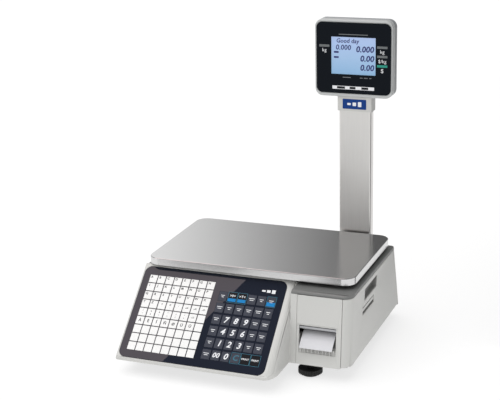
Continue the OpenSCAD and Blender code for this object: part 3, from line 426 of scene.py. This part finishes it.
def mirrored(x, down):
    """Where the camera's ray to a place on the panel goes after its reflection, at card height."""
    at = on_panel(x, down).translation
    ray = (at - camera.location).normalized()
    away = ray.reflect(panel_face.to_3x3() @ Vector((0, 0, 1)))
    return at + away * ((overhead - at.z) / away.z)


upper, lower = mirrored(*seam_top), mirrored(*seam_foot)
along = (upper - lower).normalized()
aside = Vector((along.y, -along.x, 0))
if aside.dot(mirrored(0, 88) - upper) < 0:
    aside = -aside
light_middle = (upper + lower) / 2 + aside * light_size / 2
turn = Vector((1, 0, 0)).rotation_difference(-aside).to_euler()
card("panel_light", light_middle, (light_size, 3.0), turn, (0.0, 1.6), (1.0, 1.9),
     tint=(1.0, 0.84, 0.83))
card("panel_dark", mirrored(134, 88) + Vector((0, 0, 0.01)), (3.0, 3.0), (0, 0, 0),
     (0.0, 0.02), (1.0, 0.05))

board_mask = Finish("board_mask", paint(28, 96, 58), 0.35)
board_mask.feed("Base Color", board_mask.blend(board_mask.noise(260, 2, (1, 4, 1)) > 0.54,
                                               paint(24, 88, 52), paint(44, 122, 74)))
board_mask.grain(board_mask.noise(500, 2, (1, 4, 1)), 0.00003)
dress(board_mask, "keyboard_board")

key_white = Finish("key_white", paint(246, 246, 245), 0.25)
key_white.feed("Base Color", key_white.blend(key_white.noise(30, 2),
                                             paint(243, 243, 242), paint(250, 250, 249)))
key_white.grain(key_white.noise(1200), 0.00001)
key_dark = Finish("key_dark", paint(54, 59, 72), 0.4, Specular_IOR_Level=0.25)
key_dark.feed("Base Color", key_dark.blend(key_dark.noise(40, 2), paint(53, 58, 70), paint(60, 65, 79)))
key_dark.grain(key_dark.noise(1200), 0.00001)
key_black = Finish("key_black", paint(14, 16, 22), 0.35, Specular_IOR_Level=0.2)
key_black.feed("Roughness", key_black.noise(80, 2) * 0.15 + 0.3)
key_black.grain(key_black.noise(1200), 0.00001)


def cap_edge(edge):
    """An edge of a cap's own top, above the panel."""
    return all((panel_face.inverted() @ vertex.co).z > 0.1 * MM for vertex in edge.verts)


soften("preset_keys", "preset_keys", key_white, 0.25 * MM, where=cap_edge)
soften("function_keys", "function_keys", key_dark, 0.25 * MM, where=cap_edge)
digit_keys = ["key_%d" % digit for digit in range(10)]
for name in digit_keys + ["key_00", "key_clear", "key_zero", "key_tare", "key_print", "key_auto_print"]:
    dark = name in ("key_zero", "key_tare", "key_print", "key_auto_print")
    soften(name, name, key_black if dark else key_dark, 0.25 * MM, where=cap_edge)


# ---- Key legends ----
# Ink printed on the caps: letters and signs on the preset keys, numbers and small captions on
# the function keys, with cyan fields and outlines on the keys that print and weigh.

INK = 0.02

ink_white = Finish("ink_white", paint(240, 242, 245), 0.5)
ink_white.feed("Base Color", ink_white.blend(ink_white.noise(900),
                                             paint(234, 236, 240), paint(246, 247, 250)))
ink_grey = Finish("ink_grey", paint(60, 62, 66), 0.5)
ink_grey.feed("Base Color", ink_grey.blend(ink_grey.noise(900), paint(54, 56, 60), paint(70, 72, 76)))
ink_blue = Finish("ink_blue", paint(0, 128, 196), 0.5, Specular_IOR_Level=0.15)
ink_blue.feed("Base Color", ink_blue.blend(ink_blue.noise(500), paint(0, 120, 188), paint(4, 136, 204)))
ink_teal = Finish("ink_teal", paint(20, 104, 128), 0.45)
ink_teal.feed("Base Color", ink_teal.blend(ink_teal.noise(500), paint(16, 98, 120), paint(26, 112, 136)))

preset_pitch = (15.83, 16.35)
preset_first = (20.1, 24.2)
function_pitch = (17.8, 22.0)
function_first = (158.35, 41.9)


def preset_cell(column, row, right=0.0, up=0.0):
    return on_panel(preset_first[0] + column * preset_pitch[0] + right,
                    preset_first[1] + row * preset_pitch[1] - up, key_proud / MM)


def function_cell(column, row, right=0.0, up=0.0):
    return on_panel(function_first[0] + column * function_pitch[0] + right,
                    function_first[1] + row * function_pitch[1] - up, key_proud / MM)


def lettering(name, body, finish, words, slant=0.0, weight=0.0, thick=INK):
    """Words of (text, place, height in millimetres) as one thin printed piece."""
    drafts = []
    for text, place, height in words:
        curve = bpy.data.curves.new(name, "FONT")
        curve.body = text
        curve.size = height * MM / 0.7
        curve.shear = slant
        curve.offset = weight * height * MM
        curve.align_x = "CENTER"
        curve.align_y = "CENTER"
        curve.resolution_u = 2
        curve.extrude = thick * MM
        draft = bpy.data.objects.new(name, curve)
        scene.collection.objects.link(draft)
        drafts.append((draft, place))
    bpy.context.view_layer.update()
    graph = bpy.context.evaluated_depsgraph_get()
    mesh = bmesh.new()
    for draft, place in drafts:
        data = bpy.data.meshes.new_from_object(draft.evaluated_get(graph))
        data.transform(place)
        mesh.from_mesh(data)
        bpy.data.meshes.remove(data)
        bpy.data.objects.remove(draft)
    return new_piece(name, mesh, body, finish)


def plate(mesh, place, width, height, corner=0.0, thick=INK):
    """Adds a thin plate of that width and height in millimetres, standing on a place."""
    stretch = Matrix.Diagonal((width * MM, height * MM, thick * MM, 1))
    made = bmesh.ops.create_cube(mesh, size=1,
                                 matrix=place @ Matrix.Translation((0, 0, thick * MM / 2)) @ stretch)
    if corner > 0:
        out = place.to_3x3() @ Vector((0, 0, 1))
        edges = {edge for vertex in made["verts"] for edge in vertex.link_edges}
        upright = [edge for edge in edges
                   if (edge.verts[1].co - edge.verts[0].co).cross(out).length < 1e-9]
        bmesh.ops.bevel(mesh, geom=upright, offset=corner * MM, offset_type="OFFSET", segments=4,
                        profile=0.5, affect="EDGES", material=-1)


def outline(mesh, place, width, height, line):
    """Adds four strips round a rectangle."""
    for side in (-1, 1):
        plate(mesh, place @ Matrix.Translation((side * (width - line) / 2 * MM, 0, 0)), line, height)
        plate(mesh, place @ Matrix.Translation((0, side * (height - line) / 2 * MM, 0)), width, line)


letters = ["ABCDEFGH", "IJKLMNOP", "QRSTUVWX", "YZ"]
preset_words = [(letter, preset_cell(column, row, -3.1, 3.4), 4.2)
                for row, line in enumerate(letters) for column, letter in enumerate(line)]
signs = ["#@:-", "!%&*(?"]
preset_words += [(sign, preset_cell(2 + column, 3, 0, 2.6), 2.4) for column, sign in enumerate(signs[0])]
preset_words += [(sign, preset_cell(column, 4, 0, 2.8), 2.4) for column, sign in enumerate(signs[1])]
preset_words += [(sign, preset_cell(column, 4, 0, -2.8), 2.4) for column, sign in enumerate("1$/=)+")]
preset_words += [(sign, preset_cell(column, 3, 0, -2.4), 2.2) for column, sign in ((2, "."), (3, ","))]
preset_words += [(letter, preset_cell(column, 5), 5.0) for column, letter in enumerate("ÄÈÍÑØÚÜ")]
lettering("preset_letters", "preset_keys", ink_grey, preset_words, weight=0.05)

preset_marks = bmesh.new()
for column, row in ((5, 3), (6, 3), (7, 3), (6, 4)):
    plate(preset_marks, preset_cell(column, row), 6.0, 0.9)
    plate(preset_marks, preset_cell(column, row, 1.2, 1.8), 3.4, 0.7)
new_piece("preset_marks", preset_marks, "preset_keys", ink_grey)

digit_cells = {"00": (1, 5), "0": (2, 5), "1": (1, 4), "2": (2, 4), "3": (3, 4), "4": (1, 3),
               "5": (2, 3), "6": (3, 3), "7": (1, 2), "8": (2, 2), "9": (3, 2)}
for digit, cell in digit_cells.items():
    lettering("digit_" + digit, "key_" + digit, ink_white,
              [(digit, function_cell(*cell), 8.8 if digit == "00" else 10.5)], slant=0.22, weight=0.035)
lettering("clear_letter", "key_clear", ink_teal, [("C", function_cell(3, 5), 10.0)], 0.15, 0.03)

captions = bmesh.new()
caption_cells = [(column, row) for row in range(6) for column in range(6)
                 if (column, row) not in digit_cells.values()
                 and (column, row) not in ((1, 0), (2, 0), (3, 5), (4, 5), (5, 5))]
for column, row in caption_cells:
    long = 5.5 + (column * 5 + row * 3) % 4
    plate(captions, function_cell(column, row, 0, 2.0), long + 1.5, 1.1)
    plate(captions, function_cell(column, row, 0, -1.2), long - 1.5, 1.1)
new_piece("caption_bars", captions, "function_keys", ink_white)

cyan_field = bmesh.new()
plate(cyan_field, function_cell(5, 0, 0, -4.8), 15.0, 7.4, 0.6)
new_piece("menu_field", cyan_field, "function_keys", ink_blue)
for name, column in (("key_zero", 1), ("key_tare", 2)):
    field = bmesh.new()
    plate(field, function_cell(column, 0, 0, -5.2), 14.6, 6.0, 0.6)
    new_piece(name + "_field", field, name, ink_blue)
    arrow = ">0<" if name == "key_zero" else ">T<"
    lettering(name + "_sign", name, ink_white, [(arrow, function_cell(column, 0, 0, 2.8), 4.6)], weight=0.02)
for name, column in (("key_print", 4), ("key_auto_print", 5)):
    lettering(name + "_word", name, ink_white, [("PRINT", function_cell(column, 5), 3.4)], weight=0.02)

rims = bmesh.new()
for column, row in ((1, 0), (2, 0), (5, 0), (3, 5), (4, 5), (5, 5)):
    outline(rims, function_cell(column, row) @ Matrix.Translation((0, 0, -key_proud)), 17.4, 20.6, 0.7)
new_piece("key_rims", rims, "case", ink_teal)

mark = bmesh.new()
for index, tall in enumerate((3.2, 5.0, 7.0)):
    plate(mark, on_panel(229 + index * 9.0, 22.5), 6.6, tall, 0.8)
new_piece("panel_mark", mark, "case", ink_white)


# ---- Electronics ----
# A mains supply in an open alloy box and one main board sit on the tray; a small board stands
# between the two panels of the display.

dress(cast_alloy, "power_supply")
dress(board_mask, "main_board", "display_board")


# ---- Printer ----
# A leaning front bezel with a recess that leads up to the label slot; behind it two alloy plates
# carry the roller, the thermal head and its green lever, the roll and the take-up reel.

bezel_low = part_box("printer_front")[0]
bezel_lean = 0.11
bezel_abs = Finish("bezel_abs", paint(210, 210, 207), 0.42)
_, bezel_back, bezel_height = bezel_abs.axes()
# painted shade: the bezel is coloured dark grey where it lies more than about 3.5 mm behind its leaning
# front, in the recess under the label slot, for the shade that falls inside it
sunk = bezel_back - bezel_height * bezel_lean - (bezel_low[1] - bezel_low[2] * bezel_lean)
recess_shade = bezel_abs.node("ShaderNodeClamp", {}, {0: (sunk - 3.5 * MM) * 260.0}).outputs[0]
shade_part(bezel_abs, Number(bezel_abs, recess_shade),
           (207, 207, 204), (214, 214, 211), (96, 96, 95), (108, 108, 106))
bezel_abs.grain(bezel_abs.noise(2600, 2), 0.00003)
bezel_abs.feed("Roughness", bezel_abs.noise(40, 3) * 0.12 + 0.38)
soften("printer_front", "case", bezel_abs, 0.5 * MM, 2)
label_paper = Finish("label_paper", paint(222, 222, 226), 0.5)
label_paper.feed("Base Color", label_paper.blend(label_paper.noise(60, 3),
                                                 paint(218, 218, 222), paint(226, 226, 230)))
label_paper.grain(label_paper.noise(1500, 3), 0.00001)
dress(label_paper, "label_strip", "label_roll", "takeup_spool")
lever_green = Finish("lever_green", paint(46, 128, 84), 0.4)
lever_green.feed("Base Color", lever_green.blend(lever_green.noise(60),
                                                 paint(40, 120, 78), paint(54, 136, 92)))
lever_green.grain(lever_green.noise(1200), 0.00003)
soften("head_lever", "head_lever", lever_green, 0.5 * MM)
dress(socket_black, "drive_motor")


# ---- Side cover ----
# The moulding that closes the printer bay, hinged on a pin along its foot. A finger recess and
# a sprung latch sit near its top edge.

cover_abs = Finish("cover_abs", paint(210, 210, 207), 0.42)
side, back, height = cover_abs.axes()
latch_low, latch_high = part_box("door_latch")
# painted shade: inside the finger recess by the latch the cover is coloured mid grey for the shade that falls
# into it; its light colour is also the case's plastic set a shade darker, as painted shade for a side that
# faces away from the light
sunk_in = (cover_high[0] - 1.2 * MM - side) * 900.0
grip_shade = cover_abs.node("ShaderNodeClamp", {}, {0: sunk_in}).outputs[0]
near_grip = ((back > latch_low[1] - 4 * MM) * (back < latch_high[1] + 22 * MM)
             * (height > latch_low[2] - 6 * MM) * (side > cover_high[0] - 11 * MM))
shade_part(cover_abs, Number(cover_abs, grip_shade) * near_grip,
           (205, 205, 202), (212, 212, 209), (138, 138, 137), (148, 148, 146))
cover_abs.grain(cover_abs.noise(2600, 2), 0.00003)
cover_abs.feed("Roughness", cover_abs.noise(40, 3) * 0.12 + 0.38)
soften("side_door", "side_door", cover_abs, 0.8 * MM, 3)
soften("door_latch", "door_latch", case_abs, 0.4 * MM)


# ---- Pole ----
# A flat stainless tube with an upright brushed finish, standing on a plug in the rear socket.

pole_steel = Finish("pole_steel", paint(222, 221, 218), 0.28, Metallic=1.0)
upright_brushing = pole_steel.noise(1.0, 3, stretch=(2600, 2600, 18))
pole_steel.feed("Base Color", pole_steel.blend(upright_brushing, paint(212, 211, 208), paint(230, 229, 227)))
pole_steel.feed("Roughness", upright_brushing * 0.15 + 0.25)
pole_steel.grain(upright_brushing, 0.000008)
soften("pole", "case", pole_steel, 0.3 * MM)


# ---- Collar and badge ----
# The moulded collar joins the pole to the display head, with a plain blue badge on its front.

soften("head_collar", "case", case_abs, 0.8 * MM, 3)
collar_low, collar_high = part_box("head_collar")
facing = Matrix.Rotation(radians(90), 4, "X")
collar_face = Matrix.Translation(((collar_low[0] + collar_high[0]) / 2, collar_low[1],
                                  (collar_low[2] + collar_high[2]) / 2)) @ facing
badge_blue = Finish("badge_blue", paint(2, 58, 132), 0.4, Specular_IOR_Level=0.2)
badge_blue.feed("Base Color", badge_blue.blend(badge_blue.noise(200), paint(0, 54, 126), paint(6, 62, 138)))
badge = bmesh.new()
plate(badge, collar_face, 44, 18, 1.0, 0.6)
new_piece("badge", badge, "case", badge_blue)
badge_mark = bmesh.new()
for index, tall in enumerate((4.0, 6.5, 9.0)):
    plate(badge_mark, collar_face @ Matrix.Translation(((index - 1) * 10 * MM, 0, 0.6 * MM)), 6.5, tall, 1.0)
new_piece("badge_mark", badge_mark, "case", ink_white)


# ---- Display head ----
# Two moulded shells with a smoked window in each face, and a backlit panel behind each window.

head_shell = Finish("head_shell", paint(158, 161, 164), 0.4)
head_shell.feed("Base Color", head_shell.blend(head_shell.noise(8, 3),
                                               paint(154, 157, 160), paint(163, 166, 169)))
head_shell.grain(head_shell.noise(2400), 0.00003)
# painted highlight: the front shell is the head's grey plastic coloured lighter than the rear shell, for the
# light that its rounded front rim catches
front_shell = Finish("front_shell", paint(196, 198, 198), 0.4)
front_shell.feed("Base Color", front_shell.blend(front_shell.noise(8, 3),
                                                 paint(192, 194, 194), paint(200, 202, 202)))
front_shell.grain(front_shell.noise(2400), 0.00003)
soften("head_front_case", "case", front_shell, 2.0 * MM, 4)
soften("head_rear_case", "case", head_shell, 2.0 * MM, 4)

lcd_low, lcd_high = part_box("lcd_modules")
glass_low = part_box("display_windows")[0]
smoked = Finish("smoked_window", paint(10, 16, 24), 0.05, Specular_IOR_Level=0.08)
across, _, upward = smoked.axes()
edge = 0.2 * MM
beside = (across > lcd_high[0] - edge) + (across < lcd_low[0] + edge)
over = (upward > lcd_high[2] - edge) + (upward < lcd_low[2] + edge)
smoked.feed("Alpha", smoked.node("ShaderNodeClamp", {}, {0: beside + over}).outputs[0])
smoked.feed("Roughness", smoked.noise(60, 3) * 0.04 + 0.04)
dress(smoked, "display_windows")

backlight = Finish("backlight", paint(80, 110, 150), 0.3, Emission_Strength=0.62)
level = backlight.axes()[2] * (1 / (lcd_high[2] - lcd_low[2])) - lcd_low[2] / (lcd_high[2] - lcd_low[2])
backlight.feed("Emission Color", backlight.ramp(level + backlight.noise(30, 2) * 0.16 - 0.08,
               (0.0, paint(146, 186, 214)), (0.45, paint(176, 203, 228)), (1.0, paint(192, 206, 240))))
dress(backlight, "lcd_modules")

segment_ink = Finish("segment_ink", paint(38, 44, 110), 0.5)
segment_ink.feed("Base Color", segment_ink.blend(segment_ink.noise(700),
                                                 paint(30, 36, 100), paint(52, 60, 130)))


def on_screen(x, up, lift=0.0):
    """A place on the front window, from the middle of the lit panel, in millimetres."""
    middle = Vector(((lcd_low[0] + lcd_high[0]) / 2, glass_low[1] + 1.57 * MM,
                     (lcd_low[2] + lcd_high[2]) / 2))
    return Matrix.Translation(middle) @ facing @ Matrix.Translation((x * MM, up * MM, lift * MM))


def on_glass(x, up):
    return Matrix.Translation((0, -1.57 * MM, 0)) @ on_screen(x, up)


lettering("screen_figures", "case", segment_ink,
          [("0.000", on_screen(21, 12), 10.5), ("0.00", on_screen(25, -4.5), 10.5),
           ("0.00", on_screen(25, -21), 10.5)], 0.15, 0.045)
lettering("screen_line", "case", segment_ink,
          [("Good day", on_screen(-11, 26.5), 7.4), ("0.000", on_screen(-19, 14.5), 9.0)], 0.1, 0.03)
flags = bmesh.new()
for up in (6.0, -3.2):
    plate(flags, on_screen(-32, up), 9.0, 3.4, 0.8)
new_piece("screen_flags", flags, "case", segment_ink)
lettering("unit_words", "case", ink_white,
          [("kg", on_glass(-54, 9), 6.4), ("kg", on_glass(53.5, 9.5), 6.4),
           ("$/kg", on_glass(53.5, -7.5), 6.2), ("$", on_glass(53.5, -24.5), 7.2)], weight=0.0)
ink_silver = Finish("ink_silver", paint(104, 108, 110), 0.5)
ink_silver.feed("Base Color", ink_silver.blend(ink_silver.noise(800),
                                               paint(84, 88, 90), paint(124, 128, 130)))
bars = bmesh.new()
for x, up in ((-54, 17), (53.5, 17.5), (53.5, 1)):
    plate(bars, on_glass(x, up), 19, 4.2)
for x, up, wide in ((0, 38.5, 54), (-12, -39, 15), (15, -39, 5), (23.5, -39, 7), (32, -39, 4)):
    plate(bars, on_glass(x, up), wide, 1.5)
new_piece("unit_bars", bars, "case", ink_silver)
green_bar = bmesh.new()
plate(green_bar, on_glass(53.5, -16), 19, 4.2)
ink_green = Finish("ink_green", paint(18, 150, 130), 0.5)
ink_green.feed("Base Color", ink_green.blend(ink_green.noise(800), paint(14, 142, 122), paint(24, 160, 140)))
new_piece("total_bar", green_bar, "case", ink_green)
rating = bmesh.new()
plate(rating, on_glass(0, -58), 78, 6.0)
new_piece("rating_strip", rating, "case", ink_white)
rating_blocks = bmesh.new()
for x, wide in ((-22.8, 15), (-1.1, 11), (21.7, 12.7)):
    plate(rating_blocks, on_glass(x, -58) @ Matrix.Translation((0, 0, INK * MM)), wide, 4.2)
new_piece("rating_blocks", rating_blocks, "case", key_black)
